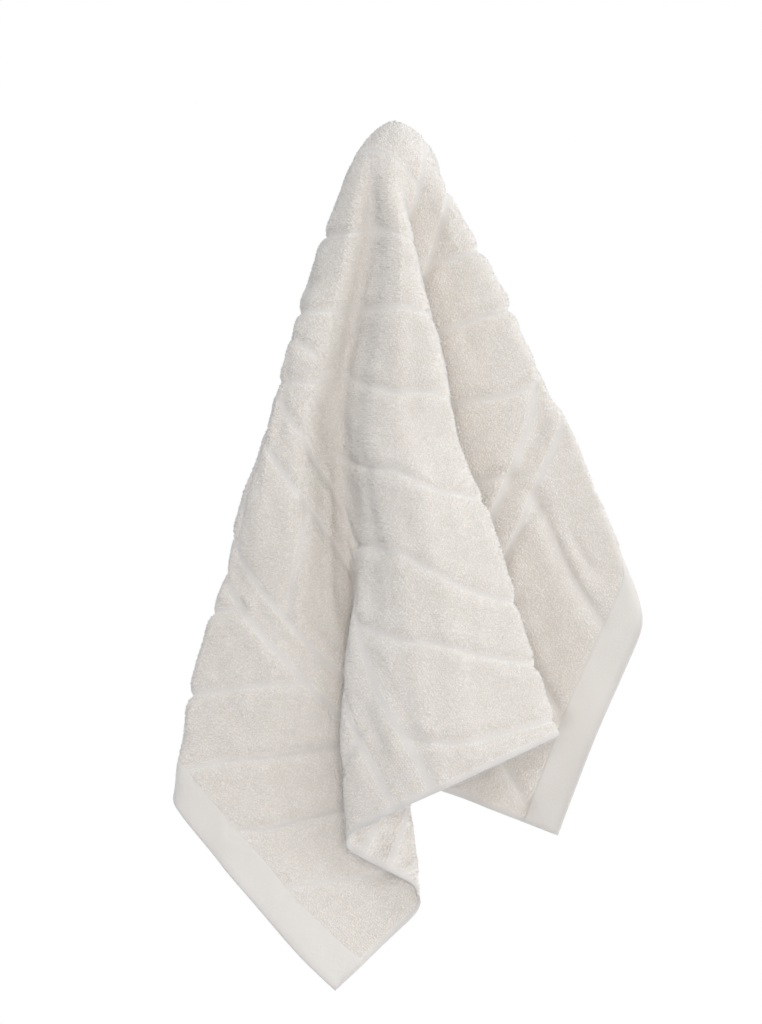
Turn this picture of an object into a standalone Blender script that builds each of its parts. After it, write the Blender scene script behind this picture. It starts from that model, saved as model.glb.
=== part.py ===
"""Hand towel of cream-white terry cloth, hanging from one point.

The towel is one rectangle of cloth, 0.70 m between its two hemmed short ends
and 0.50 m between its two long edges. It is held at one point a little inside
its upper long edge and falls from there in folds. Everything below is in
metres, +Z up, seen from the front along +Y, with the origin at the hanging
point.

The drape is built the way cloth hangs from a point: every straight line drawn
on the flat towel from the hanging point outwards (a ray) keeps its length as
it falls. A ray is named by its angle on the flat towel: 0 points straight down
to the lower long edge, positive angles turn to the left end, negative ones to
the right end. The table FOLDS says where the named rays hang at five distances
from the hanging point, and the cloth between two named rays goes straight
across, with its corners rounded to the bend of a thick towel.
"""

import math

import bpy
import numpy as np

# ---- the flat towel, measured from the hanging point ----
TO_LEFT_END = 0.425
TO_RIGHT_END = 0.275
TO_LOWER_EDGE = 0.443
TO_UPPER_EDGE = 0.057

# ---- the cloth ----
CLOTH_THICKNESS = 0.0030      # terry with its pile on both faces
HEM_THICKNESS = 0.0024        # turned hem and woven edges, without pile
# How softly the cloth turns at a fold, at the five distances below. The short
# folds behind the crown are rounder.
BENDS = (0.0034, 0.0036, 0.0037, 0.0039, 0.0042)
BACK_BENDS = (0.0150, 0.0083, 0.0092, 0.0101, 0.0109)

# ---- the rounded top, where the cloth passes over the hanging point ----
CROWN_DISTANCE = 0.030        # distance along the cloth where the crown ends
CROWN_HALF_WIDTH = 0.0230
CROWN_HALF_DEPTH = 0.0210
CROWN_SHIFT = 0.0006

# ---- the folds ----
# Distances along the cloth at which the table gives the place of each ray.
NECK, SHOULDER, HIP, WAIST, FOOT = 0.100, 0.220, 0.310, 0.400, 0.620
# Columns, in millimetres: across (x) and depth (y, towards the back) at each.
FOLDS = (
    # name, ray angle,    neck x, y, shoulder x, y,   hip x, y,   waist x, y,   foot x, y
    ("left_edge",     58,    -46, -5,    -83, 11,    -109, 8,    -136, 6,    -165, 8),
    ("left_turn",     52,    -40, -14,   -85, -7,     -95, -8,   -101, -5,   -124, -2),
    ("left_ridge",    46,    -32, -20,   -61, -15,    -67, -15,   -62, -6,    -66, 4),
    ("left_valley",   41,    -26, -14,   -49, 1,      -48, 3,     -28, 5,      -7, 8),
    ("tuck_a",      37.9,    -22, -11,   -42, 8,      -36, 13,     -6, 9,      30, 10),
    ("tuck_a_turn", 36.0,    -19, -9,    -36, 10,     -29, 15,     -5, 0,      31, 1),
    ("under_tuck",    33,    -15, -10,   -30, 5,      -23, 5,     -19, -6,      4, -9),
    ("tuck_b",      29.9,    -11, -14,   -25, -5,     -22, -12,   -34, -15,   -29, -19),
    ("tuck_b_turn", 28.1,     -9, -17,   -23, -11,    -22, -20,   -34, -23,   -29, -27),
    ("flap_left",   23.5,     -5, -24,   -15, -26,     -6, -40,    -2, -43,    14, -50),
    ("flap_crest",    18,      3, -29,     5, -34,     25, -51,    40, -54,    80, -64),
    ("flap_edge",      8,     13, -25,    43, -28,     71, -32,   100, -34,   164, -46),
    ("behind_flap",   -2,     13, -10,    38, 0,       46, 7,      52, 13,     85, 22),
    ("inner_tuck",   -13,      3, -2,     -9, 10,     -20, 15,    -31, 20,    -49, 32),
    ("inner_turn",   -15,      3, 4,      -9, 18,     -20, 24,    -31, 29,    -49, 41),
    ("right_inner",  -24,     20, 5,      30, 19,      35, 29,     38, 37,     47, 51),
    ("right_middle", -35,     37, 4,      73, 14,      94, 24,    112, 33,    169, 43),
    ("right_edge",   -44,     52, 1,     110, 9,      144, 14,    176, 17,    262, 22),
    ("right_turn",   -48,     52, 12,    109, 23,     143, 28,    175, 32,    260, 38),
    ("right_wing",   -70,     34, 26,     28, 42,      17, 54,      5, 64,    -20, 84),
    ("right_tip",   -102,     18, 32,    -40, 44,     -69, 53,    -92, 62,   -140, 78),
    ("back_inner",  -130,     16, 44,    -95, 50,    -128, 59,   -160, 68,   -220, 90),
    ("back_left",   -150,      7, 40,    -60, 60,     -90, 70,   -120, 80,   -180, 100),
    ("back_middle",  180,      4, 62,      0, 80,       0, 85,      0, 90,      0, 110),
    ("back_right",   150,     -8, 44,     40, 80,      65, 87,     90, 94,    100, 114),
    ("back_outer",   122,    -18, 50,     84, 76,     117, 83,    150, 90,    200, 100),
    ("left_tip",      98,    -22, 45,     20, 68,      59, 79,     96, 86,    150, 96),
    ("left_wing",     78,    -41, 28,    -34, 62,     -36, 73,    -40, 80,    -45, 90),
    ("left_back",     66,    -49, 9,     -76, 42,     -98, 49,   -118, 52,   -150, 60),
)

# ---- how finely the solid is faceted ----
CROWN_RINGS = (0.006, 0.012, 0.019, 0.027, 0.036, 0.046)
ROWS_BELOW = 14
SHARP = ("flap_edge",)
TURNS = ("tuck_a", "tuck_a_turn", "tuck_b", "tuck_b_turn", "inner_tuck", "inner_turn", "right_edge", "right_turn")
SOFT = ("left_edge", "left_turn", "left_ridge", "left_valley", "under_tuck",
        "behind_flap", "flap_crest", "left_back")
SHARP_STEPS = (-2.8, -1.4, -0.6, 0.0, 0.6, 1.4, 2.8)
TURN_STEPS = (-1.0, -0.4, 0.4, 1.0)
SOFT_STEPS = (-2.2, -1.0, 0.0, 1.0, 2.2)
FRONT_GAP, BACK_GAP = 5.0, 9.0
EDGE_ANGLES = (98.4, 99.6, 101.5, 104.5, 109, 114, 118, 126,     # where the upper edge is
               -103, -105, -108, -112, -118)            # met at a slant


def soft_corner_line(angle, at, value, width):
    """A line through (at, value), repeating every 360 degrees, whose corners
    are rounded over about the given widths."""
    at = np.concatenate([at - 360.0, at, at + 360.0])
    value, width = np.tile(value, 3), np.tile(width, 3)
    slope = np.diff(value) / np.diff(at)
    line = value[0] + slope[0] * (angle - at[0])
    for corner, before, after, soft in zip(at[1:-1], slope[:-1], slope[1:], width[1:-1]):
        line += (after - before) * soft * np.logaddexp(0.0, (angle - corner) / soft)
    return line


def out_from_point(angle):
    """Unit direction in plan in which each ray leaves the hanging point."""
    turn = np.radians(angle)
    return np.stack([-np.sin(turn), -np.cos(turn)], 1)


def ray_places(angle):
    """Across and depth of each ray at the crown's end and the five heights."""
    rows = sorted(FOLDS, key=lambda row: row[1])
    at = np.array([row[1] for row in rows], float)
    places = [out_from_point(angle) * (CROWN_HALF_WIDTH, CROWN_HALF_DEPTH)
              + (CROWN_SHIFT, 0.0)]
    behind = np.abs(at) > 90.0
    for column, distance in enumerate((NECK, SHOULDER, HIP, WAIST, FOOT)):
        width = np.degrees(np.where(behind, BACK_BENDS[column], BENDS[column]) / distance)
        both = [soft_corner_line(angle, at, np.array([row[2 + 2 * column + k] for row in rows]) / 1000.0, width)
                for k in (0, 1)]
        places.append(np.stack(both, 1))
    return np.stack(places, 1)


def hang(angle, distance):
    """Points of the cloth's middle, one row for each ray and one column for
    each distance along it. The plan is a smooth curve through the table's
    places; the drop follows from the ray keeping its length."""
    knots = np.array([0.0, CROWN_DISTANCE, NECK, SHOULDER, HIP, WAIST, FOOT])
    place = np.concatenate([np.zeros((len(angle), 1, 2)), ray_places(angle)], 1)
    span = np.diff(knots)
    chord = np.diff(place, axis=1) / span[None, :, None]
    lean = np.empty_like(place)
    lean[:, 0] = out_from_point(angle)
    lean[:, 1:-1] = (chord[:, :-1] * span[None, 1:, None] + chord[:, 1:] * span[None, :-1, None]) / (
        span[None, 1:, None] + span[None, :-1, None])
    lean[:, -1] = chord[:, -1]
    part = np.clip(np.searchsorted(knots, distance, side="right") - 1, 0, len(span) - 1)
    width = span[part][None, :, None]
    t = ((distance - knots[part]) / span[part])[None, :, None]
    p0, p1 = place[:, part], place[:, part + 1]
    m0, m1 = lean[:, part] * width, lean[:, part + 1] * width
    plan = ((2 * t**3 - 3 * t**2 + 1) * p0 + (t**3 - 2 * t**2 + t) * m0
            + (3 * t**2 - 2 * t**3) * p1 + (t**3 - t**2) * m1)
    rate = ((6 * t**2 - 6 * t) * (p0 - p1) + (3 * t**2 - 4 * t + 1) * m0 + (3 * t**2 - 2 * t) * m1) / width
    fall = np.sqrt(np.clip(1.0 - (rate**2).sum(2), 0.02, 1.0))
    fall[:, 0] = 0.0
    drop = np.cumsum(0.5 * (fall[:, 1:] + fall[:, :-1]) * np.diff(distance)[None], 1)
    drop = np.concatenate([np.zeros((len(angle), 1)), drop], 1)
    return np.concatenate([plan, -drop[..., None]], 2)


def reach(angle):
    """How far each ray goes on the flat towel before it meets an edge."""
    turn = np.radians(angle)
    left, down = np.sin(turn), np.cos(turn)
    far = np.full(len(angle), 9.0)
    for along, limit in ((left, TO_LEFT_END), (-left, TO_RIGHT_END),
                         (down, TO_LOWER_EDGE), (-down, TO_UPPER_EDGE)):
        far = np.where(along > 1e-9, np.minimum(far, limit / np.maximum(along, 1e-9)), far)
    return far


def unevenness(angle, distance):
    """Soft waves of the hanging cloth, as a shift along its face normal."""
    turn = np.radians(angle)
    across, down = -distance * np.sin(turn), distance * np.cos(turn)
    grown = np.clip((distance - 0.06) / 0.16, 0.0, 1.0)
    wave = (0.0016 * np.sin(2 * math.pi * (across / 0.118 + 0.35 * np.sin(down / 0.071)))
            + 0.0011 * np.sin(2 * math.pi * (down / 0.163 - across / 0.240 + 0.2)))
    return wave * grown


def pinch(angle, distance):
    """Shift to the left where a woven band draws the right-hand edge in: it
    comes in slowly from above and ends in a short step."""
    width = np.where(distance < 0.222, 0.062, 0.014)
    near = np.exp(-((angle + 46.0) / 10.0) ** 2 - ((distance - 0.222) / width) ** 2)
    return np.stack([-0.0070 * near, 0.0 * near, 0.0 * near], 1)


def middle_surface(angle, distance):
    """Middle of the cloth and its unit normal (towards the outer face) for
    matching lists of ray angles and distances."""
    steps = np.linspace(0.0, 0.640, 321)
    step = 0.20
    grids = [hang(angle + turn, steps) for turn in (-step, 0.0, step)]

    def at(grid, where):
        place = np.clip(where / steps[1], 0, len(steps) - 1.001)
        low = place.astype(int)
        share = (place - low)[:, None]
        row = np.arange(len(where))
        return grid[row, low] * (1 - share) + grid[row, low + 1] * share

    def moved(where, normal_of=None):
        return [at(grid, where) for grid in grids]

    before, here, after = moved(distance)
    further = at(grids[1], distance + 0.002)
    nearer = at(grids[1], np.maximum(distance - 0.002, 0.0))
    normal = np.cross(after - before, further - nearer)
    size = np.linalg.norm(normal, axis=1, keepdims=True)
    normal = np.where(size > 1e-12, normal / np.maximum(size, 1e-12), (0.0, 0.0, 1.0))
    return here + normal * unevenness(angle, distance)[:, None] + pinch(angle, distance), normal


def ray_angles():
    """Ray angles used for the facets: close together at the folds. The corners
    of the towel are among them."""
    corners = [math.degrees(math.atan2(a, b)) for a, b in (
        (TO_LEFT_END, TO_LOWER_EDGE), (-TO_RIGHT_END, TO_LOWER_EDGE),
        (TO_LEFT_END, -TO_UPPER_EDGE), (-TO_RIGHT_END, -TO_UPPER_EDGE))]
    wanted = corners + list(EDGE_ANGLES)
    for name, angle, *_ in FOLDS:
        steps = (SHARP_STEPS if name in SHARP else TURN_STEPS if name in TURNS
                 else SOFT_STEPS if name in SOFT else (0.0,))
        wanted += [angle + step for step in steps]
    kept = []
    for angle in sorted((a + 180.0) % 360.0 - 180.0 for a in wanted):
        if kept and angle - kept[-1] < 0.45:
            if min(abs(angle - c) for c in corners) < 1e-6:
                kept[-1] = angle
            continue
        kept.append(angle)
    filled = []
    for a, b in zip(kept, kept[1:] + [kept[0] + 360.0]):
        widest = FRONT_GAP if -60.0 < a < 110.0 else BACK_GAP
        parts = max(1, math.ceil((b - a) / widest))
        filled += [a + (b - a) * k / parts for k in range(parts)]
    while len(filled) % 4:
        gaps = [b - a for a, b in zip(filled, filled[1:] + [filled[0] + 360.0])]
        widest = gaps.index(max(gaps))
        filled.insert(widest + 1, filled[widest] + gaps[widest] / 2)
    return np.array(filled)


def build_cloth():
    angles = ray_angles()
    count = len(angles)
    ends = reach(angles)
    rings = []                                   # (indices of angles, distances)
    for k, distance in enumerate(CROWN_RINGS):
        every = 4 if k == 0 else 2 if k < 3 else 1
        rings.append((np.arange(0, count, every), None, distance))
    for row in range(1, ROWS_BELOW + 1):
        share = (row / ROWS_BELOW) ** 1.12
        rings.append((np.arange(count), share, None))

    middle, normals, thick, start = [np.zeros((1, 3))], [np.array([[0.0, 0.0, 1.0]])], [np.array([CLOTH_THICKNESS])], []
    total = 1
    for which, share, distance in rings:
        far = ends[which]
        here = np.full(len(which), distance) if share is None else CROWN_RINGS[-1] + share * (far - CROWN_RINGS[-1])
        points, normal = middle_surface(angles[which], here)
        middle.append(points)
        normals.append(normal)
        thick.append(np.full(len(which), HEM_THICKNESS if share == 1.0 else CLOTH_THICKNESS))
        start.append(total)
        total += len(which)
    middle, normals, thick = np.concatenate(middle), np.concatenate(normals), np.concatenate(thick)

    faces = []
    first = len(rings[0][0])
    for k in range(first):
        faces.append((0, start[0] + (k + 1) % first, start[0] + k))
    for j in range(1, len(rings)):
        inner, outer = len(rings[j - 1][0]), len(rings[j][0])
        a, b = start[j - 1], start[j]
        if inner == outer:
            for k in range(inner):
                n = (k + 1) % inner
                if (k + j) % 2:
                    faces += [(a + k, a + n, b + n), (a + k, b + n, b + k)]
                else:
                    faces += [(a + k, a + n, b + k), (a + n, b + n, b + k)]
        else:
            for k in range(inner):
                n = (k + 1) % inner
                left, mid, right = 2 * k, 2 * k + 1, (2 * k + 2) % outer
                faces += [(a + k, b + mid, b + left), (a + k, a + n, b + mid), (a + n, b + right, b + mid)]
    outer_face = middle + normals * thick[:, None] / 2
    inner_face = middle - normals * thick[:, None] / 2
    points = np.concatenate([outer_face, inner_face])
    solid_faces = [tuple(f) for f in faces] + [tuple(total + i for i in reversed(f)) for f in faces]
    rim = start[-1]
    for k in range(count):
        n = (k + 1) % count
        solid_faces += [(rim + k, rim + n, total + rim + n), (rim + k, total + rim + n, total + rim + k)]

    # which way round the outer face is wound decides the order of all faces
    a, b, c = (points[i] for i in solid_faces[0])
    if np.cross(b - a, c - a)[2] < 0:
        solid_faces = [tuple(reversed(f)) for f in solid_faces]
    mesh = bpy.data.meshes.new("towel_cloth")
    mesh.from_pydata(points.tolist(), [], solid_faces)
    mesh.validate()
    mesh.shade_smooth()
    mesh.set_sharp_from_angle(angle=math.radians(50))
    return mesh


def cloth_material():
    material = bpy.data.materials.new("cream_terry")
    material.use_nodes = True
    shader = material.node_tree.nodes["Principled BSDF"]
    shader.inputs["Base Color"].default_value = (0.80, 0.765, 0.72, 1.0)
    shader.inputs["Roughness"].default_value = 0.95
    shader.inputs["Metallic"].default_value = 0.0
    return material


def main():
    for thing in list(bpy.data.objects):
        bpy.data.objects.remove(thing, do_unlink=True)
    towel = bpy.data.objects.new("towel_cloth", build_cloth())
    towel.data.materials.append(cloth_material())
    bpy.context.scene.collection.objects.link(towel)


main()
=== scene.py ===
"""Hand towel of cream-white terry cloth, hanging from one point.

The drape is the same as the CAD sheet's: a flat towel, 0.70 m by 0.50 m, whose
straight lines out from the hanging point (rays) keep their length as they
fall. Here it gets its woven relief (hems, bands, diagonal grooves, creases)
and its looped pile, which is modelled loop by loop on both faces.

Metres, +Z up, the front of the towel faces -Y.
"""

import math

import bpy
import numpy as np
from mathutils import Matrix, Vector


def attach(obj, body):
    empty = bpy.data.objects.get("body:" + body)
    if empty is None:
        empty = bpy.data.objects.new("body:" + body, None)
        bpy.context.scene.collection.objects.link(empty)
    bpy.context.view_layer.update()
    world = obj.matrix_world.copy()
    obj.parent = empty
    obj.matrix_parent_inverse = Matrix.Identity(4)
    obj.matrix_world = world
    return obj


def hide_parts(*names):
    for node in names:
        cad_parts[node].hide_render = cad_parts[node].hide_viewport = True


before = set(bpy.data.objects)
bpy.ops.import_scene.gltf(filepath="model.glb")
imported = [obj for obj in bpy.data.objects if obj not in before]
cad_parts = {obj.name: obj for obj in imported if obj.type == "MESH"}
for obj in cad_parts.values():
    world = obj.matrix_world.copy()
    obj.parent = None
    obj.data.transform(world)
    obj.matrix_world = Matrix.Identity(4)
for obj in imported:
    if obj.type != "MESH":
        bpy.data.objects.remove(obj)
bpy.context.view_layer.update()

# ------------------------------------------------------------------ the towel
# The flat towel, measured from the hanging point.
TO_LEFT_END = 0.425
TO_RIGHT_END = 0.275
TO_LOWER_EDGE = 0.443
TO_UPPER_EDGE = 0.057

BENDS = (0.0034, 0.0036, 0.0037, 0.0039, 0.0042)
BACK_BENDS = (0.0150, 0.0083, 0.0092, 0.0101, 0.0109)
CROWN_DISTANCE = 0.030
CROWN_HALF_WIDTH = 0.0230
CROWN_HALF_DEPTH = 0.0210
CROWN_SHIFT = 0.0006
NECK, SHOULDER, HIP, WAIST, FOOT = 0.100, 0.220, 0.310, 0.400, 0.620
FOLDS = (
    # name, ray angle,    neck x, y, shoulder x, y,   hip x, y,   waist x, y,   foot x, y
    ("left_edge",     58,    -46, -5,    -83, 11,    -109, 8,    -136, 6,    -165, 8),
    ("left_turn",     52,    -40, -14,   -85, -7,     -95, -8,   -101, -5,   -124, -2),
    ("left_ridge",    46,    -32, -20,   -61, -15,    -67, -15,   -62, -6,    -66, 4),
    ("left_valley",   41,    -26, -14,   -49, 1,      -48, 3,     -28, 5,      -7, 8),
    ("tuck_a",      37.9,    -22, -11,   -42, 8,      -36, 13,     -6, 9,      30, 10),
    ("tuck_a_turn", 36.0,    -19, -9,    -36, 10,     -29, 15,     -5, 0,      31, 1),
    ("under_tuck",    33,    -15, -10,   -30, 5,      -23, 5,     -19, -6,      4, -9),
    ("tuck_b",      29.9,    -11, -14,   -25, -5,     -22, -12,   -34, -15,   -29, -19),
    ("tuck_b_turn", 28.1,     -9, -17,   -23, -11,    -22, -20,   -34, -23,   -29, -27),
    ("flap_left",   23.5,     -5, -24,   -15, -26,     -6, -40,    -2, -43,    14, -50),
    ("flap_crest",    18,      3, -29,     5, -34,     25, -51,    40, -54,    80, -64),
    ("flap_edge",      8,     13, -25,    43, -28,     71, -32,   100, -34,   164, -46),
    ("behind_flap",   -2,     13, -10,    38, 0,       46, 7,      52, 13,     85, 22),
    ("inner_tuck",   -13,      3, -2,     -9, 10,     -20, 15,    -31, 20,    -49, 32),
    ("inner_turn",   -15,      3, 4,      -9, 18,     -20, 24,    -31, 29,    -49, 41),
    ("right_inner",  -24,     20, 5,      30, 19,      35, 29,     38, 37,     47, 51),
    ("right_middle", -35,     37, 4,      73, 14,      94, 24,    112, 33,    169, 43),
    ("right_edge",   -44,     52, 1,     110, 9,      144, 14,    176, 17,    262, 22),
    ("right_turn",   -48,     52, 12,    109, 23,     143, 28,    175, 32,    260, 38),
    ("right_wing",   -70,     34, 26,     28, 42,      17, 54,      5, 64,    -20, 84),
    ("right_tip",   -102,     18, 32,    -40, 44,     -69, 53,    -92, 62,   -140, 78),
    ("back_inner",  -130,     16, 44,    -95, 50,    -128, 59,   -160, 68,   -220, 90),
    ("back_left",   -150,      7, 40,    -60, 60,     -90, 70,   -120, 80,   -180, 100),
    ("back_middle",  180,      4, 62,      0, 80,       0, 85,      0, 90,      0, 110),
    ("back_right",   150,     -8, 44,     40, 80,      65, 87,     90, 94,    100, 114),
    ("back_outer",   122,    -18, 50,     84, 76,     117, 83,    150, 90,    200, 100),
    ("left_tip",      98,    -22, 45,     20, 68,      59, 79,     96, 86,    150, 96),
    ("left_wing",     78,    -41, 28,    -34, 62,     -36, 73,    -40, 80,    -45, 90),
    ("left_back",     66,    -49, 9,     -76, 42,     -98, 49,   -118, 52,   -150, 60),
)

# ------------------------------------------------------------------- its weave
# Everything here is in millimetres on the flat towel: across to the right of
# the hanging point, then down from it.
HEM = 25.5                    # turned hem at each short end, woven without pile
SELVEDGE = 3.0                # woven edge along each long side
STRIPE_HALF = 2.5             # half width of a woven stripe without pile
GROOVE_HALF = 1.7             # half width of a diagonal groove
# Woven stripes that run across the towel, parallel to its hems, in pairs.
STRIPES = (-289, -267, -195, -167, 26, 50, 150, 170)
# Diagonal grooves in the bands between the pairs of stripes.
GROOVES = (
    ((-400, -70), (-289, 10)),
    ((-400, -5), (-289, 76)),
    ((-400, 60), (-345, 98), (-289, 143)),
    ((-400, 127), (-340, 170), (-289, 211)),
    ((-400, 196), (-363, 223), (-331, 248), (-289, 281)),
    ((-400, 258), (-357, 289), (-310, 322), (-289, 337)),
    ((-400, 316), (-379, 332), (-338, 356), (-289, 390)),
    ((-400, 370), (-377, 385), (-359, 399), (-300, 441)),
    ((-267, -10), (-195, -52)),
    ((-267, 52), (-195, 10)),
    ((-267, 116), (-230, 96), (-195, 72)),
    ((-267, 178), (-195, 136)),
    ((-267, 243), (-228, 222), (-195, 199)),
    ((-267, 306), (-195, 262)),
    ((-267, 368), (-225, 345), (-195, 324)),
    ((-267, 430), (-195, 387)),
    ((-167, -80), (-86, -24), (-27, 18), (26, 52)),
    ((-167, -16), (-120, 16), (-86, 42), (-63, 63), (-27, 83), (26, 118)),
    ((-167, 52), (-133, 76), (-102, 102), (-76, 119), (-46, 132), (-26, 141), (26, 174)),
    ((-150, 86), (-137, 98), (-128, 121)),
    ((-167, 118), (-125, 146), (-96, 166), (-73, 180), (-62, 188), (-40, 196), (26, 236)),
    ((-167, 184), (-105, 227), (-85, 238), (-73, 255), (-43, 274), (26, 312)),
    ((-167, 254), (-130, 275), (-114, 287), (-103, 305), (-80, 330), (-40, 352), (26, 385)),
    ((-167, 316), (-148, 332), (-136, 343), (-90, 374), (-40, 402), (20, 438)),
    ((-167, 400), (-141, 418), (-107, 426), (-68, 431), (-20, 440)),
    ((50, -15), (150, -75)),
    ((50, 42), (100, 8), (150, -22)),
    ((50, 104), (96, 72), (150, 36)),
    ((50, 163), (70, 149), (94, 129), (109, 119), (150, 92)),
    ((50, 226), (99, 189), (124, 176), (142, 165), (150, 161)),
    ((50, 287), (100, 254), (150, 224)),
    ((50, 350), (102, 313), (150, 286)),
    ((50, 412), (100, 378), (150, 347)),
    ((88, 443), (150, 408)),
    ((170, -42), (248, 22)),
    ((170, 27), (210, 62), (248, 90)),
    ((170, 96), (248, 158)),
    ((170, 164), (208, 197), (248, 226)),
    ((170, 229), (186, 246), (211, 269), (225, 280), (248, 297)),
    ((170, 301), (248, 366)),
    ((170, 370), (214, 405), (248, 431)),
)
# Creases and soft rolls: points as (ray angle, distance along the ray), then
# height in millimetres (minus is a trough) and half width.
CREASES = (
    (((38.6, 235), (39.6, 281), (41.0, 335), (41.6, 380)), 1.4, 4.2),
    (((28.0, 40), (32.5, 66), (35.0, 100), (35.7, 150), (36.2, 205)), -3.0, 7.5),
    (((44.0, 60), (45.5, 100), (46.0, 150)), 1.6, 6.0),
    (((52.6, 170), (50.4, 212), (49.6, 250)), -1.3, 2.8),
    (((53.0, 200), (52.2, 230), (51.2, 300)), 1.1, 3.6),
    (((49.0, 330), (49.4, 420), (49.2, 530)), 1.0, 8.0),
    (((22.4, 280), (21.6, 340), (21.0, 400), (20.4, 470), (19.8, 545)), 2.0, 8.0),
    (((27.0, 225), (25.9, 330), (25.4, 420), (25.0, 500), (24.8, 560)), -1.6, 8.0),
    (((14.0, 120), (15.0, 200), (15.5, 260)), -0.7, 7.0),
    (((12.0, 60), (17.0, 110), (19.0, 150)), 0.9, 3.2),
    (((-30.0, 60), (-31.0, 130), (-33.0, 200)), -0.8, 6.0),
    (((-36.0, 60), (-37.0, 120)), 0.9, 4.0),
    (((-27.0, 300), (-28.0, 380), (-29.0, 440)), -1.0, 9.0),
    (((-37.0, 330), (-36.0, 400), (-34.0, 450)), 0.9, 9.0),
    (((-52.0, 90), (-60.0, 160), (-66.0, 240)), 1.2, 8.0),
    (((-78.0, 80), (-84.0, 150), (-88.0, 210)), -1.2, 8.0),
    (((71.0, 110), (72.0, 220), (72.0, 340)), 1.3, 9.0),
    (((80.0, 120), (83.0, 220), (84.0, 330)), -1.3, 9.0),
    (((88.0, 150), (90.0, 260), (91.0, 360)), 1.2, 10.0),
)
# Rolls drawn on the flat towel, as the stripes are: points, height, half width.
ROLLS = (
    (((158, 172), (158, 200), (155, 228), (152, 262)), -2.3, 5.0),
    (((149, 168), (150, 200), (145, 222), (143, 262)), 1.0, 4.5),
    (((171, 186), (172, 214), (170, 236), (165, 270)), 1.3, 4.5),
    (((181, 226), (176, 246), (170, 272), (166, 300)), -2.0, 4.5),
    (((184, 238), (204, 256), (222, 272), (248, 292)), 1.1, 4.5),
    (((196, 240), (214, 256), (232, 270)), -1.5, 3.5),
    (((-276, 160), (-277, 230), (-278, 300), (-278, 350)), -1.2, 6.0),
    (((-167, 325), (-167, 380), (-169, 440)), 0.9, 3.8),
    (((-158, 330), (-159, 390), (-160, 436)), -1.0, 4.0),
    (((-183, 360), (-184, 400), (-186, 440)), -0.8, 5.0),
    (((-142, 272), (-128, 281), (-116, 291)), -1.0, 3.0),
    (((-140, 82), (-150, 104)), -1.5, 5.0),
)

CORE = 0.00105                # thickness of the woven ground
PILE = 0.00115                # height of the loops above the ground
LOOP_GAP_OUTER = 0.00158      # between loops, outer face
LOOP_GAP_INNER = 0.00196      # between loops, inner face
FUZZ = 1.25                   # how far a loop's own sides show in its shading


# ------------------------------------------------------------------- the drape
def soft_corner_line(angle, at, value, width):
    at = np.concatenate([at - 360.0, at, at + 360.0])
    value, width = np.tile(value, 3), np.tile(width, 3)
    slope = np.diff(value) / np.diff(at)
    line = value[0] + slope[0] * (angle - at[0])
    for corner, before, after, soft in zip(at[1:-1], slope[:-1], slope[1:], width[1:-1]):
        line += (after - before) * soft * np.logaddexp(0.0, (angle - corner) / soft)
    return line


def out_from_point(angle):
    turn = np.radians(angle)
    return np.stack([-np.sin(turn), -np.cos(turn)], 1)


def ray_places(angle):
    rows = sorted(FOLDS, key=lambda row: row[1])
    at = np.array([row[1] for row in rows], float)
    places = [out_from_point(angle) * (CROWN_HALF_WIDTH, CROWN_HALF_DEPTH)
              + (CROWN_SHIFT, 0.0)]
    behind = np.abs(at) > 90.0
    for column, distance in enumerate((NECK, SHOULDER, HIP, WAIST, FOOT)):
        width = np.degrees(np.where(behind, BACK_BENDS[column], BENDS[column]) / distance)
        both = [soft_corner_line(angle, at, np.array([row[2 + 2 * column + k] for row in rows]) / 1000.0, width)
                for k in (0, 1)]
        places.append(np.stack(both, 1))
    return np.stack(places, 1)


def hang(angle, distance):
    knots = np.array([0.0, CROWN_DISTANCE, NECK, SHOULDER, HIP, WAIST, FOOT])
    place = np.concatenate([np.zeros((len(angle), 1, 2)), ray_places(angle)], 1)
    span = np.diff(knots)
    chord = np.diff(place, axis=1) / span[None, :, None]
    lean = np.empty_like(place)
    lean[:, 0] = out_from_point(angle)
    lean[:, 1:-1] = (chord[:, :-1] * span[None, 1:, None] + chord[:, 1:] * span[None, :-1, None]) / (
        span[None, 1:, None] + span[None, :-1, None])
    lean[:, -1] = chord[:, -1]
    part = np.clip(np.searchsorted(knots, distance, side="right") - 1, 0, len(span) - 1)
    width = span[part][None, :, None]
    t = ((distance - knots[part]) / span[part])[None, :, None]
    p0, p1 = place[:, part], place[:, part + 1]
    m0, m1 = lean[:, part] * width, lean[:, part + 1] * width
    plan = ((2 * t**3 - 3 * t**2 + 1) * p0 + (t**3 - 2 * t**2 + t) * m0
            + (3 * t**2 - 2 * t**3) * p1 + (t**3 - t**2) * m1)
    rate = ((6 * t**2 - 6 * t) * (p0 - p1) + (3 * t**2 - 4 * t + 1) * m0 + (3 * t**2 - 2 * t) * m1) / width
    fall = np.sqrt(np.clip(1.0 - (rate**2).sum(2), 0.02, 1.0))
    fall[:, 0] = 0.0
    drop = np.cumsum(0.5 * (fall[:, 1:] + fall[:, :-1]) * np.diff(distance)[None], 1)
    drop = np.concatenate([np.zeros((len(angle), 1)), drop], 1)
    return np.concatenate([plan, -drop[..., None]], 2)


ANGLE_STEP, DISTANCE_STEP = 0.1, 0.002


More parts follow.
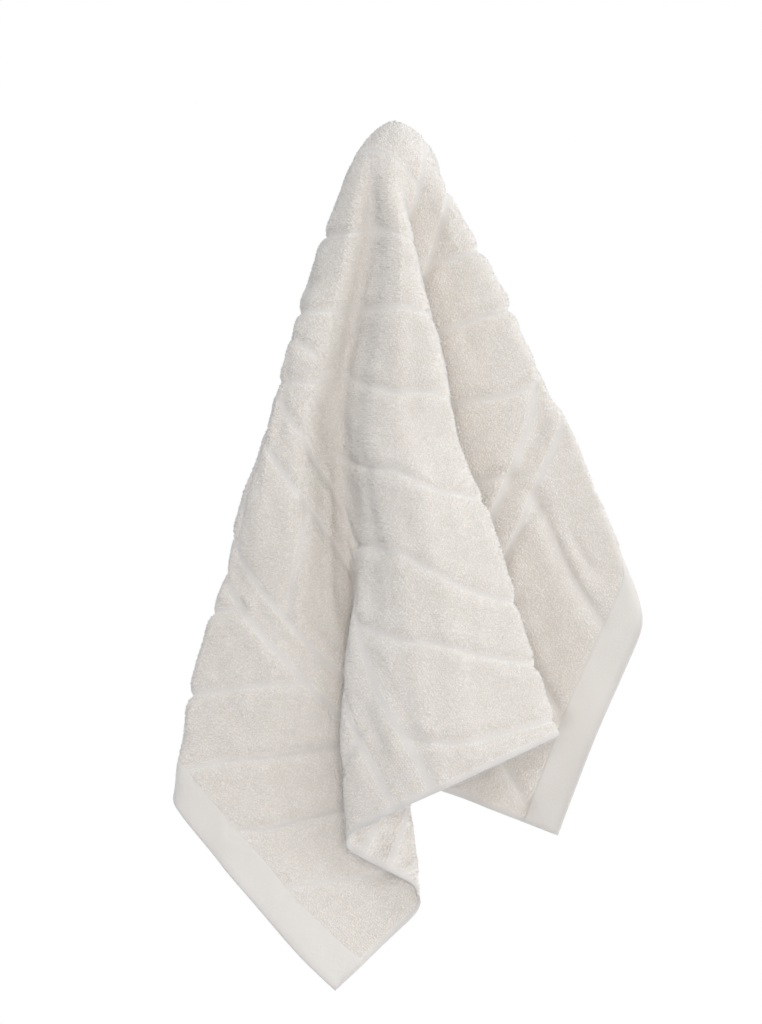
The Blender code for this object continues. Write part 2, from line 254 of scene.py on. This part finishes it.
class Drape:
    """The hung middle surface and its outward normal, as tables over the rays."""

    def __init__(self):
        self.angles = np.arange(-180.0, 180.0, ANGLE_STEP)
        self.distances = np.arange(0.0, 0.6401, DISTANCE_STEP)
        place = hang(self.angles, self.distances)
        before, after = np.roll(place, 2, 0), np.roll(place, -2, 0)
        along = np.empty_like(place)
        along[:, 1:-1] = place[:, 2:] - place[:, :-2]
        along[:, 0], along[:, -1] = place[:, 1] - place[:, 0], place[:, -1] - place[:, -2]
        normal = np.cross(after - before, along)
        size = np.linalg.norm(normal, axis=2, keepdims=True)
        normal = np.where(size > 1e-14, normal / np.maximum(size, 1e-14), (0.0, 0.0, 1.0))
        normal[:, 0] = (0.0, 0.0, 1.0)
        self.place, self.normal = place, normal

    def at(self, angle, distance):
        a = ((angle + 180.0) % 360.0) / ANGLE_STEP
        a0 = np.floor(a).astype(int)
        fa = (a - a0)[:, None]
        a0 %= len(self.angles)
        a1 = (a0 + 1) % len(self.angles)
        d = np.clip(distance / DISTANCE_STEP, 0, len(self.distances) - 1.001)
        d0 = d.astype(int)
        fd = (d - d0)[:, None]
        found = []
        for grid in (self.place, self.normal):
            low = grid[a0, d0] * (1 - fa) + grid[a1, d0] * fa
            high = grid[a0, d0 + 1] * (1 - fa) + grid[a1, d0 + 1] * fa
            found.append(low * (1 - fd) + high * fd)
        found[1] /= np.maximum(np.linalg.norm(found[1], axis=1, keepdims=True), 1e-9)
        return found


def unevenness(angle, distance):
    turn = np.radians(angle)
    across, down = -distance * np.sin(turn), distance * np.cos(turn)
    grown = np.clip((distance - 0.06) / 0.16, 0.0, 1.0)
    wave = (0.0016 * np.sin(2 * math.pi * (across / 0.118 + 0.35 * np.sin(down / 0.071)))
            + 0.0011 * np.sin(2 * math.pi * (down / 0.163 - across / 0.240 + 0.2)))
    return wave * grown


def pinch(angle, distance):
    width = np.where(distance < 0.222, 0.062, 0.014)
    near = np.exp(-((angle + 46.0) / 10.0) ** 2 - ((distance - 0.222) / width) ** 2)
    return np.stack([-0.0070 * near, 0.0 * near, 0.0 * near], 1)


# --------------------------------------------------------------------- relief
def wander(a, b, seed, size):
    """A smooth, repeatable wave over the flat cloth, about -1 to 1."""
    rng = np.random.default_rng(seed)
    total = np.zeros_like(a)
    for _ in range(5):
        turn, phase = rng.uniform(0, 2 * math.pi, 2)
        scale = 2 * math.pi / (size * rng.uniform(0.7, 1.5))
        total += np.sin((a * math.cos(turn) + b * math.sin(turn)) * scale + phase)
    return total / 2.6


def smooth_path(points, steps=5):
    """The path through given points, with its corners taken off."""
    points = np.array(points, float)
    if len(points) < 3:
        return points
    ahead = np.concatenate([points[:1] * 2 - points[1:2], points, points[-1:] * 2 - points[-2:-1]])
    path = []
    for k in range(len(points) - 1):
        p0, p1, p2, p3 = ahead[k:k + 4]
        for t in np.arange(steps) / steps:
            path.append(0.5 * (2 * p1 + (p2 - p0) * t + (2 * p0 - 5 * p1 + 4 * p2 - p3) * t * t
                               + (3 * p1 - p0 - 3 * p2 + p3) * t ** 3))
    return np.array(path + [points[-1]])


def edge_distances(across, down):
    ends = np.minimum(across + TO_LEFT_END, TO_RIGHT_END - across)
    sides = np.minimum(down + TO_UPPER_EDGE, TO_LOWER_EDGE - down)
    return ends, sides


class FlatTowel:
    """Maps over the flat towel, half a millimetre apart: distance to the
    nearest diagonal groove and woven stripe, and the height of the relief."""

    STEP = 0.0005
    LOW = (-0.432, -0.064)

    def __init__(self):
        xs = np.arange(self.LOW[0], 0.2825, self.STEP)
        ys = np.arange(self.LOW[1], 0.4505, self.STEP)
        self.across, self.down = np.meshgrid(xs, ys)
        shape = self.across.shape
        wavy_x = 0.0008 * wander(self.across, self.down, 11, 0.07)
        wavy_y = 0.0008 * wander(self.across, self.down, 12, 0.06)
        self.groove = np.full(shape, 0.06)
        for points in GROOVES:
            self.near(self.groove, smooth_path(points) / 1000.0, 0.016, wavy_x, wavy_y)
        self.stripe = np.full(shape, 0.06)
        for place in STRIPES:
            self.stripe = np.minimum(self.stripe, np.abs(self.across - place / 1000.0 + 0.6 * wavy_x))
        self.height = self.relief()

    def near(self, into, path, reach, wavy_x, wavy_y):
        """Put the distance to a path into a map, where the path is near."""
        for start, stop in zip(path[:-1], path[1:]):
            low = (np.minimum(start, stop) - reach - self.LOW) / self.STEP
            high = (np.maximum(start, stop) + reach - self.LOW) / self.STEP
            i0, i1 = max(int(low[1]), 0), min(int(high[1]) + 2, into.shape[0])
            j0, j1 = max(int(low[0]), 0), min(int(high[0]) + 2, into.shape[1])
            if i0 >= i1 or j0 >= j1:
                continue
            x = self.across[i0:i1, j0:j1] + wavy_x[i0:i1, j0:j1] - start[0]
            y = self.down[i0:i1, j0:j1] + wavy_y[i0:i1, j0:j1] - start[1]
            run = stop - start
            share = np.clip((x * run[0] + y * run[1]) / max(run @ run, 1e-12), 0, 1)
            away = np.hypot(x - share * run[0], y - share * run[1])
            into[i0:i1, j0:j1] = np.minimum(into[i0:i1, j0:j1], away)

    def fold(self, path, tall, half):
        """A soft roll or trough along a path, fading out at its ends."""
        away = np.full(self.across.shape, 0.09)
        flat = np.zeros_like(away)
        self.near(away, path, half * 3.2, flat, flat)
        ends = np.minimum(np.hypot(self.across - path[0][0], self.down - path[0][1]),
                          np.hypot(self.across - path[-1][0], self.down - path[-1][1]))
        length = np.linalg.norm(np.diff(path, axis=0), axis=1).sum()
        fade = np.clip(ends / min(0.30 * length, 0.030), 0, 1)
        return tall * np.exp(-(away / half) ** 2) * fade * fade * (3 - 2 * fade)

    def relief(self):
        angle = np.degrees(np.arctan2(-self.across, self.down))
        distance = np.hypot(self.across, self.down)
        grown = np.clip((distance - 0.03) / 0.06, 0.0, 1.0)
        # the grooves are pressed in unevenly, and less near the flap's free edge
        deep = (0.92 + 0.30 * wander(self.across, self.down, 8, 0.110)) * (
            1 - 0.38 * np.exp(-((self.across + 0.012) / 0.060) ** 2))
        # and hardly show down the deep fold on the left
        fold_left = 1 - 0.75 * np.exp(-((angle - 39.5) / 5.0) ** 2 - ((distance - 0.27) / 0.14) ** 4)
        deep = deep * fold_left
        height = -0.00190 * deep * np.exp(-(self.groove / 0.0040) ** 2)
        height += 0.00065 * deep * np.exp(-((self.groove - 0.0095) / 0.0055) ** 2)
        height -= 0.00110 * np.exp(-(self.stripe / 0.0042) ** 2)
        height += 0.00050 * np.exp(-((self.stripe - 0.0095) / 0.0060) ** 2)
        height += (0.00055 * wander(self.across, self.down, 3, 0.050)
                   + 0.00030 * wander(self.across, self.down, 4, 0.022))
        height *= grown
        for points, tall, half in CREASES:
            path = smooth_path(points)
            turn = np.radians(path[:, 0])
            path = np.stack([-path[:, 1] * np.sin(turn), path[:, 1] * np.cos(turn)], 1) / 1000.0
            height += self.fold(path, tall / 1000.0, half / 1000.0)
        for points, tall, half in ROLLS:
            height += self.fold(smooth_path(points) / 1000.0, 1.3 * tall / 1000.0, half / 1000.0)
        # the selvedges curl a little and the hems are slightly wavy
        ends, sides = edge_distances(self.across, self.down)
        height += 0.0011 * np.exp(-(sides / 0.012) ** 2) * wander(self.across, self.down, 5, 0.055)
        height += 0.0007 * np.exp(-(ends / 0.016) ** 2) * wander(self.across, self.down, 6, 0.045)
        return height + unevenness(angle, distance)

    def look(self, grid, across, down):
        i = np.clip((down - self.LOW[1]) / self.STEP, 0, grid.shape[0] - 1.001)
        j = np.clip((across - self.LOW[0]) / self.STEP, 0, grid.shape[1] - 1.001)
        i0, j0 = i.astype(int), j.astype(int)
        fi, fj = i - i0, j - j0
        return ((grid[i0, j0] * (1 - fj) + grid[i0, j0 + 1] * fj) * (1 - fi)
                + (grid[i0 + 1, j0] * (1 - fj) + grid[i0 + 1, j0 + 1] * fj) * fi)


flat = FlatTowel()
drape = Drape()


def surface(across, down):
    """Points and normals of the cloth's middle for places on the flat cloth."""
    angle = np.degrees(np.arctan2(-across, down))
    distance = np.hypot(across, down)
    place, normal = drape.at(angle, distance)
    height = flat.look(flat.height, across, down)
    return place + normal * height[:, None] + pinch(angle, distance), normal


def surface_normal(across, down):
    """Normals that follow the relief as well."""
    step = 0.0009
    low, _ = surface(across - step, down)
    high, _ = surface(across + step, down)
    near, _ = surface(across, down - step)
    far, plain = surface(across, down + step)
    normal = np.cross(far - near, high - low)
    size = np.linalg.norm(normal, axis=1, keepdims=True)
    normal = np.where(size > 1e-10, normal / np.maximum(size, 1e-10), plain)
    flip = (normal * plain).sum(1, keepdims=True) < 0
    return np.where(flip, -normal, normal)


# ------------------------------------------------------------------ mesh tools
def mesh_object(name, points, corners, sides):
    """An object from numpy: every face has the same number of sides."""
    mesh = bpy.data.meshes.new(name)
    count = len(corners) // sides
    mesh.vertices.add(len(points))
    mesh.vertices.foreach_set("co", np.ascontiguousarray(points, np.float32).ravel())
    mesh.loops.add(len(corners))
    mesh.loops.foreach_set("vertex_index", np.ascontiguousarray(corners, np.int32))
    mesh.polygons.add(count)
    mesh.polygons.foreach_set("loop_start", np.arange(count, dtype=np.int32) * sides)
    mesh.polygons.foreach_set("loop_total", np.full(count, sides, np.int32))
    mesh.update(calc_edges=True)
    mesh.shade_smooth()
    thing = bpy.data.objects.new(name, mesh)
    bpy.context.scene.collection.objects.link(thing)
    return thing


def paint(thing, name, values):
    """A number at each vertex, which the material reads."""
    layer = thing.data.attributes.new(name, "FLOAT", "POINT")
    layer.data.foreach_set("value", np.ascontiguousarray(values, np.float32))


def grid_lines(low, high, edge_low, edge_high, gap):
    inner = np.linspace(low + edge_low[-1], high - edge_high[-1],
                        int(math.ceil((high - low - edge_low[-1] - edge_high[-1]) / gap)) + 1)
    return np.concatenate([low + np.array(edge_low[:-1]), inner, (high - np.array(edge_high[:-1]))[::-1]])


def build_ground():
    """The woven ground: a thin closed sheet with rounded edges, thicker at the
    turned hems."""
    hem = HEM / 1000.0
    hem_steps = (0.0, 0.0004, 0.0011, 0.0028, 0.0060, 0.0100, 0.0140, 0.0180, 0.0215,
                 hem - 0.0014, hem - 0.0005, hem + 0.0005, hem + 0.0026)
    side_steps = (0.0, 0.0004, 0.0011, 0.0024, 0.0040, 0.0052)
    columns = grid_lines(-TO_LEFT_END, TO_RIGHT_END, hem_steps, hem_steps, 0.0031)
    rows = grid_lines(-TO_UPPER_EDGE, TO_LOWER_EDGE, side_steps, side_steps, 0.0031)
    across, down = (g.ravel() for g in np.meshgrid(columns, rows))
    place, _ = surface(across, down)
    normal = surface_normal(across, down)
    ends, sides = edge_distances(across, down)
    half = np.full(across.shape, CORE / 2)
    in_hem = np.clip((hem - ends) / 0.0010 + 0.5, 0, 1)
    half += in_hem * 0.00062
    half += 0.00052 * np.exp(-((sides - 0.0018) / 0.0018) ** 2)
    rim = np.minimum(ends, sides)
    round_off = np.sqrt(np.clip(1 - (1 - np.clip(rim / 0.0011, 0, 1)) ** 2, 0.0, 1))
    half = half * np.maximum(round_off, 0.12)
    n, m = len(rows), len(columns)
    total = n * m
    points = np.concatenate([place + normal * half[:, None], place - normal * half[:, None]])
    index = np.arange(total).reshape(n, m)
    a, b, c, d = index[:-1, :-1].ravel(), index[:-1, 1:].ravel(), index[1:, 1:].ravel(), index[1:, :-1].ravel()
    outer = np.stack([a, d, c, b], 1)
    inner = np.stack([a, b, c, d], 1) + total
    border = np.concatenate([index[0, :-1], index[:-1, -1], index[-1, :0:-1], index[:0:-1, 0]])
    after = np.roll(border, -1)
    rim_faces = np.stack([border, after, after + total, border + total], 1)
    faces = np.concatenate([outer, inner, rim_faces])
    # outward check on one face near the middle of the front
    probe = points[outer[len(outer) // 2]]
    facing = np.cross(probe[1] - probe[0], probe[2] - probe[0]) @ normal[outer[len(outer) // 2][0]]
    if facing < 0:
        faces = faces[:, ::-1]
    thing = mesh_object("towel_ground", points, faces.ravel(), 4)
    paint(thing, "woven", np.tile(in_hem, 2))
    # edge: near the rim, where the material paints the cloth darker as painted shade of the rolled edge
    paint(thing, "edge", np.tile(np.exp(-(rim / 0.0030) ** 2), 2))
    paint(thing, "across", np.tile(across, 2))
    paint(thing, "down", np.tile(down, 2))
    return thing


def pile_height(across, down):
    """Height of the loops here: none on hems, edges and woven stripes, and
    hardly any in the grooves."""
    ends, sides = edge_distances(across, down)
    high = np.clip((ends * 1000.0 - HEM) / 1.4, 0, 1) * np.clip((sides * 1000.0 - SELVEDGE) / 1.8, 0, 1)
    stripe = flat.look(flat.stripe, across, down) * 1000.0
    high *= np.clip((stripe - STRIPE_HALF + 1.0) / 2.6, 0, 1)
    groove = flat.look(flat.groove, across, down) * 1000.0
    high *= np.clip((groove - GROOVE_HALF + 1.1) / 3.0, 0, 1)
    # the loops stand in small tufts, and lie flatter over the crown
    crown = np.exp(-(np.hypot(across, down) / 0.034) ** 2)
    return high * (1 + 0.10 * wander(across, down, 21, 0.016) + 0.17 * wander(across, down, 22, 0.0050)) * (
        1 - 0.35 * crown)


def build_pile(outward, gap, seed):
    """Loops of the pile on one face. Each is a small three-sided tuft in rows
    along the towel's length, jittered as loops are."""
    rng = np.random.default_rng(seed)
    hem, side_edge = HEM / 1000.0, SELVEDGE / 1000.0
    columns = np.arange(-TO_LEFT_END + hem, TO_RIGHT_END - hem, gap)
    rows = np.arange(-TO_UPPER_EDGE + side_edge, TO_LOWER_EDGE - side_edge, gap * 0.96)
    across, down = np.meshgrid(columns, rows)
    down = down + (np.arange(len(columns)) % 2)[None, :] * gap * 0.48
    across, down = across.ravel(), down.ravel()
    across = across + rng.uniform(-0.30, 0.30, len(across)) * gap
    down = down + rng.uniform(-0.30, 0.30, len(down)) * gap
    high = pile_height(across, down)
    keep = (high > 0.15) & (down < TO_LOWER_EDGE - side_edge) & (down > -TO_UPPER_EDGE + side_edge)
    across, down, high = across[keep], down[keep], high[keep]
    count = len(across)
    place, _ = surface(across, down)
    normal = surface_normal(across, down) * outward
    # two directions in the cloth
    step = 0.0009
    side = surface(across + step, down)[0] - surface(across - step, down)[0]
    side -= normal * (side * normal).sum(1, keepdims=True)
    side /= np.maximum(np.linalg.norm(side, axis=1, keepdims=True), 1e-9)
    other = np.cross(normal, side)
    turn = rng.uniform(0, 2 * math.pi, count)
    radius = gap * rng.uniform(0.68, 0.90, count)
    tall = PILE * high * rng.uniform(0.72, 1.22, count)
    lean = rng.normal(0.0, 0.24, (count, 2)) * gap
    points = np.empty((count, 4, 3))
    for k in range(3):
        here = turn + k * 2 * math.pi / 3
        points[:, k] = (place + side * (radius * np.cos(here))[:, None] + other * (radius * np.sin(here))[:, None]
                        + normal * (CORE * 0.36))
    points[:, 3] = (place + side * lean[:, :1] + other * lean[:, 1:] + normal * (CORE / 2 + tall)[:, None])
    # shade each loop partly as the cloth it stands on, since cotton is fuzzy
    foot = points[:, :3] - points[:, :3].mean(1, keepdims=True)
    foot /= np.maximum(np.linalg.norm(foot, axis=2, keepdims=True), 1e-9)
    lay = np.repeat(normal[:, None], 4, 1)
    lay[:, :3] = lay[:, :3] + foot * FUZZ
    lay /= np.linalg.norm(lay, axis=2, keepdims=True)
    first = np.arange(count) * 4
    faces = np.concatenate([np.stack([first + k, first + (k + 1) % 3, first + 3], 1) for k in range(3)], 1)
    tone = rng.uniform(0, 1, count)
    # tip is 0 at a loop's foot and 1 at its top; the material uses it to paint the foot darker (painted shade
    # between the loops) and the top paler (painted light)
    return (points.reshape(-1, 3), faces.reshape(-1, 3), lay.reshape(-1, 3), np.repeat(tone, 4),
            np.tile([0.0, 0.0, 0.0, 1.0], count))


def split_pile(name, outward, gap, seed, most=190000):
    points, faces, lay, tone, tip = build_pile(outward, gap, seed)
    parts = int(math.ceil(len(faces) / most))
    tufts = len(faces) // 3
    made = []
    for k in range(parts):
        a, b = tufts * k // parts, tufts * (k + 1) // parts
        piece = mesh_object(f"{name}_{k + 1}", points[a * 4:b * 4], (faces[a * 3:b * 3] - a * 4).ravel(), 3)
        piece.data.normals_split_custom_set_from_vertices(lay[a * 4:b * 4].tolist())
        paint(piece, "tone", tone[a * 4:b * 4])
        # tip carries the painted shade at the loops' feet and the painted light at their tops
        paint(piece, "tip", tip[a * 4:b * 4])
        made.append(piece)
    return made


# ------------------------------------------------------------------- materials
def new_material(name):
    material = bpy.data.materials.new(name)
    material.use_nodes = True
    tree = material.node_tree
    return material, tree, tree.nodes["Principled BSDF"]


def node(tree, kind, **settings):
    made = tree.nodes.new(kind)
    for key, value in settings.items():
        setattr(made, key, value)
    return made


def mix_colour(tree, factor, a, b, mode="MIX"):
    mixer = node(tree, "ShaderNodeMix", data_type="RGBA", blend_type=mode)
    for socket, value in ((mixer.inputs[0], factor), (mixer.inputs[6], a), (mixer.inputs[7], b)):
        if isinstance(value, bpy.types.NodeSocket):
            tree.links.new(value, socket)
        else:
            socket.default_value = value
    return mixer.outputs[2]


CREAM = (0.812, 0.771, 0.718, 1.0)
CREAM_WARM = (0.803, 0.752, 0.688, 1.0)
# painted light: the paler colour of the loops' tops
CREAM_PAINTED_LIGHT = (0.854, 0.818, 0.770, 1.0)
# painted shade: the darker colour at the loops' feet, between the loops
CREAM_PAINTED_SHADE = (0.742, 0.688, 0.622, 1.0)
CREAM_WOVEN = (0.726, 0.692, 0.642, 1.0)
CREAM_FLOOR = (0.735, 0.702, 0.662, 1.0)
CREAM_FLOOR_WARM = (0.722, 0.682, 0.633, 1.0)
# painted shade: the darker colour along the cloth's rolled rim
CREAM_PAINTED_EDGE_SHADE = (0.640, 0.615, 0.585, 1.0)


def ground_material():
    material, tree, shader = new_material("cream_terry_ground")
    place = node(tree, "ShaderNodeTexCoord").outputs["Object"]
    big = node(tree, "ShaderNodeTexNoise")
    big.inputs["Scale"].default_value = 22.0
    big.inputs["Detail"].default_value = 3.0
    tree.links.new(place, big.inputs["Vector"])
    base = mix_colour(tree, big.outputs["Fac"], CREAM_FLOOR_WARM, CREAM_FLOOR)
    woven = node(tree, "ShaderNodeAttribute", attribute_name="woven").outputs["Fac"]
    base = mix_colour(tree, woven, base, CREAM_WOVEN)
    # painted shade: the cloth is coloured darker within a few millimetres of its rim, for the shade of its rolled
    # edge
    edge = node(tree, "ShaderNodeAttribute", attribute_name="edge").outputs["Fac"]
    base = mix_colour(tree, edge, base, CREAM_PAINTED_EDGE_SHADE)
    # the plain weave of the hems: two fine sets of ribs on the flat cloth
    across = node(tree, "ShaderNodeAttribute", attribute_name="across").outputs["Fac"]
    down = node(tree, "ShaderNodeAttribute", attribute_name="down").outputs["Fac"]
    ribs = []
    for value, pitch in ((across, 0.00110), (down, 0.00085)):
        scaled = node(tree, "ShaderNodeMath", operation="MULTIPLY")
        scaled.inputs[1].default_value = 2 * math.pi / pitch
        tree.links.new(value, scaled.inputs[0])
        wave = node(tree, "ShaderNodeMath", operation="SINE")
        tree.links.new(scaled.outputs[0], wave.inputs[0])
        ribs.append(wave.outputs[0])
    both = node(tree, "ShaderNodeMath", operation="MULTIPLY")
    tree.links.new(ribs[0], both.inputs[0])
    tree.links.new(ribs[1], both.inputs[1])
    bump = node(tree, "ShaderNodeBump")
    bump.inputs["Strength"].default_value = 0.35
    bump.inputs["Distance"].default_value = 0.0003
    tree.links.new(both.outputs[0], bump.inputs["Height"])
    fine = node(tree, "ShaderNodeTexNoise")
    fine.inputs["Scale"].default_value = 900.0
    fine.inputs["Detail"].default_value = 2.0
    tree.links.new(place, fine.inputs["Vector"])
    rough = node(tree, "ShaderNodeBump")
    rough.inputs["Strength"].default_value = 0.35
    rough.inputs["Distance"].default_value = 0.0004
    tree.links.new(fine.outputs["Fac"], rough.inputs["Height"])
    tree.links.new(bump.outputs["Normal"], rough.inputs["Normal"])
    tree.links.new(rough.outputs["Normal"], shader.inputs["Normal"])
    tree.links.new(base, shader.inputs["Base Color"])
    shader.inputs["Roughness"].default_value = 0.92
    shader.inputs["Specular IOR Level"].default_value = 0.15
    shader.inputs["Sheen Weight"].default_value = 0.12
    shader.inputs["Sheen Roughness"].default_value = 0.5
    return material


def pile_material():
    material, tree, shader = new_material("cream_terry_pile")
    place = node(tree, "ShaderNodeTexCoord").outputs["Object"]
    big = node(tree, "ShaderNodeTexNoise")
    big.inputs["Scale"].default_value = 22.0
    big.inputs["Detail"].default_value = 3.0
    tree.links.new(place, big.inputs["Vector"])
    base = mix_colour(tree, big.outputs["Fac"], CREAM_WARM, CREAM)
    tone = node(tree, "ShaderNodeAttribute", attribute_name="tone").outputs["Fac"]
    tip = node(tree, "ShaderNodeAttribute", attribute_name="tip").outputs["Fac"]
    # painted shade and light: each loop is coloured darker at its foot and paler at its top, by a random amount
    # per loop
    foot = mix_colour(tree, tone, CREAM_PAINTED_SHADE, base)
    crest = mix_colour(tree, tone, base, CREAM_PAINTED_LIGHT)
    base = mix_colour(tree, tip, foot, crest)
    fine = node(tree, "ShaderNodeTexNoise")
    fine.inputs["Scale"].default_value = 1500.0
    fine.inputs["Detail"].default_value = 1.0
    tree.links.new(place, fine.inputs["Vector"])
    rough = node(tree, "ShaderNodeBump")
    rough.inputs["Strength"].default_value = 0.3
    rough.inputs["Distance"].default_value = 0.0003
    tree.links.new(fine.outputs["Fac"], rough.inputs["Height"])
    tree.links.new(rough.outputs["Normal"], shader.inputs["Normal"])
    tree.links.new(base, shader.inputs["Base Color"])
    shader.inputs["Roughness"].default_value = 0.95
    shader.inputs["Specular IOR Level"].default_value = 0.12
    shader.inputs["Sheen Weight"].default_value = 0.15
    shader.inputs["Sheen Roughness"].default_value = 0.5
    return material


# ----------------------------------------------------------------- the pieces
ground = build_ground()
ground.data.materials.append(ground_material())
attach(ground, "root")
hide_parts("towel_cloth")

pile = (split_pile("pile_outer", 1.0, LOOP_GAP_OUTER, 101)
                         + split_pile("pile_inner", -1.0, LOOP_GAP_INNER, 202))
loops = pile_material()
for piece in pile:
    piece.data.materials.append(loops)
    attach(piece, "root")

# ------------------------------------------------------ floor, light, camera
FLOOR = -0.80


def build_floor():
    count = 96
    turn = np.linspace(0, 2 * math.pi, count, endpoint=False)
    points = [(1.9 * math.cos(t), 1.9 * math.sin(t), FLOOR) for t in turn]
    mesh = bpy.data.meshes.new("floor")
    mesh.from_pydata(points, [], [tuple(range(count))])
    floor = bpy.data.objects.new("floor", mesh)
    bpy.context.scene.collection.objects.link(floor)
    material, tree, shader = new_material("pale_floor")
    shader.inputs["Base Color"].default_value = (0.88, 0.88, 0.88, 1.0)
    shader.inputs["Roughness"].default_value = 0.7
    floor.data.materials.append(material)


def direction(turn, rise):
    """Towards a lamp: turn is from the camera's side round to the right."""
    turn, rise = math.radians(turn), math.radians(rise)
    return Vector((math.sin(turn) * math.cos(rise), -math.cos(turn) * math.cos(rise), math.sin(rise)))


def soft_lamp(name, turn, rise, colour, spread):
    lamp = bpy.data.lights.new(name, "SUN")
    lamp.energy = 1.0
    lamp.color = colour
    lamp.angle = math.radians(spread)
    thing = bpy.data.objects.new(name, lamp)
    thing.location = direction(turn, rise) * 3.0
    thing.rotation_mode = "QUATERNION"
    thing.rotation_quaternion = (-direction(turn, rise)).to_track_quat("-Z", "Y")
    bpy.context.scene.collection.objects.link(thing)


def softbox(name, place, toward, size, energy, colour):
    """A wide, low lamp close to the towel, which the camera doesn't see."""
    lamp = bpy.data.lights.new(name, "AREA")
    lamp.shape = "RECTANGLE"
    lamp.size, lamp.size_y = size
    lamp.energy = energy
    lamp.color = colour
    thing = bpy.data.objects.new(name, lamp)
    thing.location = place
    thing.rotation_mode = "QUATERNION"
    thing.rotation_quaternion = (Vector(toward) - Vector(place)).to_track_quat("-Z", "Y")
    thing.visible_camera = False
    bpy.context.scene.collection.objects.link(thing)


def build_world():
    """A white room: the camera sees plain white, and the cloth is lit by wide
    soft panels behind it, beside it and under it."""
    world = bpy.data.worlds.new("studio")
    world.use_nodes = True
    tree = world.node_tree
    back = tree.nodes["Background"]
    toward = node(tree, "ShaderNodeTexCoord").outputs["Generated"]
    total = None
    for way, colour in PANELS:
        dot = node(tree, "ShaderNodeVectorMath", operation="DOT_PRODUCT")
        dot.inputs[1].default_value = way
        tree.links.new(toward, dot.inputs[0])
        lobe = node(tree, "ShaderNodeMath", operation="MAXIMUM")
        lobe.inputs[1].default_value = 0.0
        tree.links.new(dot.outputs["Value"], lobe.inputs[0])
        tint = node(tree, "ShaderNodeVectorMath", operation="SCALE")
        tint.inputs[0].default_value = colour
        tree.links.new(lobe.outputs[0], tint.inputs["Scale"])
        if total is None:
            total = tint.outputs[0]
        else:
            add = node(tree, "ShaderNodeVectorMath", operation="ADD")
            tree.links.new(total, add.inputs[0])
            tree.links.new(tint.outputs[0], add.inputs[1])
            total = add.outputs[0]
    seen = node(tree, "ShaderNodeLightPath").outputs["Is Camera Ray"]
    colour = mix_colour(tree, seen, (0.0, 0.0, 0.0, 1.0), (1.0, 1.0, 1.0, 1.0))
    tree.links.new(total, colour.node.inputs[6])
    tree.links.new(colour, back.inputs["Color"])
    back.inputs["Strength"].default_value = 1.0
    bpy.context.scene.world = world


PANELS = (
    ((0.0, 0.0, -1.0), (0.84, 0.84, 0.85)),
    ((0.0, 0.0, 1.0), (0.22, 0.22, 0.23)),
    ((1.0, 0.0, 0.0), (0.78, 0.78, 0.80)),
    ((0.0, 1.0, 0.0), (1.12, 1.12, 1.15)),
    ((-1.0, 0.0, 0.0), (0.32, 0.36, 0.40)),
)
LAMPS = (
    ("lamp_front", 2.0, 6.0, (0.95, 0.915, 0.905), 28.0),
    ("lamp_front_left", -25.0, 8.0, (0.06, 0.07, 0.08), 26.0),
    ("lamp_right", 68.0, 8.0, (0.45, 0.49, 0.53), 24.0),
    ("lamp_right_high", 98.0, 28.0, (0.44, 0.46, 0.50), 24.0),
    ("lamp_left_high", -40.0, 59.0, (0.79, 0.82, 0.87), 22.0),
)

build_floor()
build_world()
softbox("low_softbox", (0.30, -0.52, -0.70), (0.03, 0.0, -0.48), (1.1, 0.12), 0.30, (1.0, 0.97, 0.93))
softbox("high_softbox", (0.25, -0.42, -0.02), (0.0, 0.0, -0.15), (0.5, 0.12), 0.40, (0.94, 1.0, 1.0))
for name, turn, rise, colour, spread in LAMPS:
    soft_lamp(name, turn, rise, colour, spread)

bpy.context.scene.view_settings.view_transform = "Standard"
bpy.context.scene.view_settings.look = "None"

AWAY = 4.0
PICTURE_HEIGHT = 0.7025       # metres of the picture's height at the towel
camera_data = bpy.data.cameras.new("camera")
camera_data.sensor_fit = "VERTICAL"
camera_data.sensor_height = 24.0
camera_data.sensor_width = 24.0
camera_data.lens = 24.0 * AWAY / PICTURE_HEIGHT
camera_data.clip_start, camera_data.clip_end = 0.05, 50.0
camera = bpy.data.objects.new("camera", camera_data)
camera.location = (-0.0089, -AWAY, -0.2675)
camera.rotation_euler = (math.radians(90.0), 0.0, 0.0)
bpy.context.scene.collection.objects.link(camera)
bpy.context.scene.camera = camera
